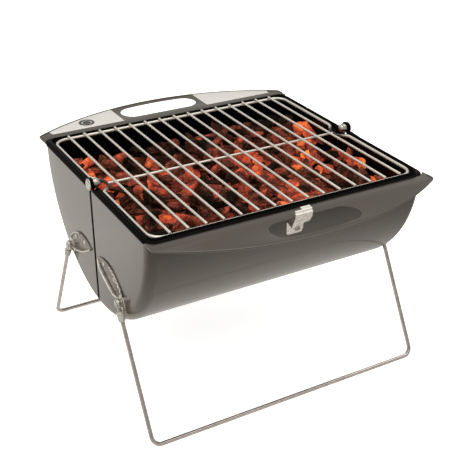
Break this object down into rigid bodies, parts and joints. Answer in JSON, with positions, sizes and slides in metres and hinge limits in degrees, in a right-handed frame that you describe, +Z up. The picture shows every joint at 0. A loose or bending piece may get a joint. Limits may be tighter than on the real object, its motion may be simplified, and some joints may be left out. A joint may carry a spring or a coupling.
{
  "type": "folding camp grill",
  "caption": "Suitcase-style charcoal camp grill: a split drum that hinges open into two firepans, with a lift-off wire cooking grate, slotted carry-handle flanges and folding wire legs.",
  "frame": {"origin": "On the ground plane, directly under the middle of the fold hinge axis.", "axes": "+Z up; +Y towards the rear half (the one with the silver plates); X along the fold hinge axis, +X to the right seen from the front."},
  "size_m": [0.4516, 0.541, 0.325],
  "materials": {
    "shell_paint": "smooth gloss gunmetal paint, reflective",
    "black_enamel": "high-gloss black enamel",
    "fire_grate_iron": "heat-darkened iron rod",
    "charcoal": "rough lump charcoal, glowing red",
    "bright_plating": "bright zinc and nickel plating",
    "dark_chrome": "polished, dark reflections",
    "wire_nickel": "bright nickel-plated wire",
    "ferrule_plastic": "matt warm grey",
    "latch_nickel": "nickel-plated pressed sheet",
    "plate_silver": "satin silver foil plate with a thin dark edge line",
    "badge_metal": "small dark ring"
  },
  "bodies": {
    "front_half": {"front_shell": "shell_paint", "front_liner": "black_enamel", "front_fire_grate": "fire_grate_iron", "front_charcoal": "charcoal", "front_hinge_ears": "black_enamel", "hinge_pins": "bright_plating", "hinge_nuts": "dark_chrome", "front_left_leg_bracket": "bright_plating", "front_right_leg_bracket": "bright_plating", "front_bracket_rivets": "bright_plating", "front_leg_pivots": "bright_plating", "latch_lug": "shell_paint", "latch_screw": "bright_plating"},
    "rear_half": {"rear_shell": "shell_paint", "rear_liner": "black_enamel", "rear_fire_grate": "fire_grate_iron", "rear_charcoal": "charcoal", "rear_hinge_ears": "black_enamel", "rear_left_leg_bracket": "bright_plating", "rear_right_leg_bracket": "bright_plating", "rear_bracket_rivets": "bright_plating", "rear_leg_pivots": "bright_plating", "nameplate_left": "plate_silver", "nameplate_right": "plate_silver", "ring_badge": "badge_metal"},
    "front_leg_body": {"front_leg": "wire_nickel", "front_leg_ferrules": "ferrule_plastic"},
    "rear_leg_body": {"rear_leg": "wire_nickel", "rear_leg_ferrules": "ferrule_plastic"},
    "latch": {"latch_clip": "latch_nickel"},
    "cooking_grate": {"grate_frame": "wire_nickel", "grate_bars": "wire_nickel", "grate_cross_bar": "wire_nickel"}
  },
  "joints": [
    {"name": "fold", "type": "hinge", "parent": "front_half", "child": "rear_half", "pos_m": [0, 0, 0.316], "axis": [1, 0, 0], "range_deg": [0, 180]},
    {"name": "front_leg_fold", "type": "hinge", "parent": "front_half", "child": "front_leg_body", "pos_m": [0, -0.094, 0.178], "axis": [-1, 0, 0], "range_deg": [0, 98], "stiffness_Nm_per_rad": 16, "springref_deg": -28.65},
    {"name": "rear_leg_fold", "type": "hinge", "parent": "rear_half", "child": "rear_leg_body", "pos_m": [0, 0.094, 0.178], "axis": [1, 0, 0], "range_deg": [0, 98], "stiffness_Nm_per_rad": 16, "springref_deg": -28.65},
    {"name": "latch_swing", "type": "hinge", "parent": "front_half", "child": "latch", "pos_m": [-0.017, -0.218, 0.2983], "axis": [0, -1, 0], "range_deg": [0, 35], "stiffness_Nm_per_rad": 0.005},
    {"name": "grate_lift", "type": "slide", "parent": "front_half", "child": "cooking_grate", "axis": [0, 0, 1], "range_m": [0, 0.82]}
  ],
  "couplings": [
    {"joint": "grate_lift", "follows": "fold", "m_per_rad": 0.26}
  ]
}
